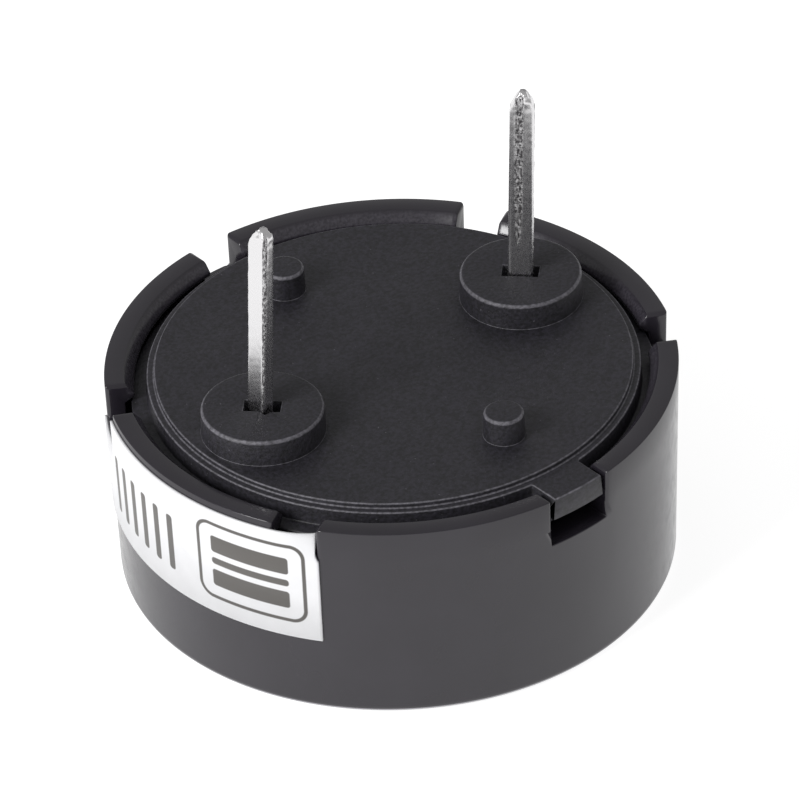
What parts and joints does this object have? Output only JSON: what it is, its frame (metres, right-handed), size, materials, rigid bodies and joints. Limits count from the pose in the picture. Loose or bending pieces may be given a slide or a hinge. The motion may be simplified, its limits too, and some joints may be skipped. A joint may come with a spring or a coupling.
{
  "type": "piezo buzzer",
  "caption": "Round pin-type piezo sounder with a notched black cup, a stepped cover with standoffs and straight pins for a circuit board.",
  "frame": {"origin": "on the body's axis at the sound face, which is the face away from the pins", "axes": "+Z from the sound face towards the pins, +X along the line through the pins, -Y through the cover's tab"},
  "size_m": [0.0171, 0.017, 0.0141],
  "materials": {
    "housing": "glossy moulded",
    "cover": "fine spark texture",
    "terminals": "tinned",
    "plate": "rolled",
    "adhesive": "cured silicone",
    "bond": "cured epoxy",
    "silver": "fired silver",
    "ceramic": "sintered",
    "label": "satin film"
  },
  "bodies": {
    "root": {"housing": "housing", "cover": "cover", "centre_terminal": "terminals", "rim_terminal": "terminals", "vibration_plate": "plate", "adhesive_ring": "adhesive", "bond_film": "bond", "lower_electrode": "silver", "ceramic_disc": "ceramic", "upper_electrode": "silver", "label_film": "label"}
  },
  "joints": []
}
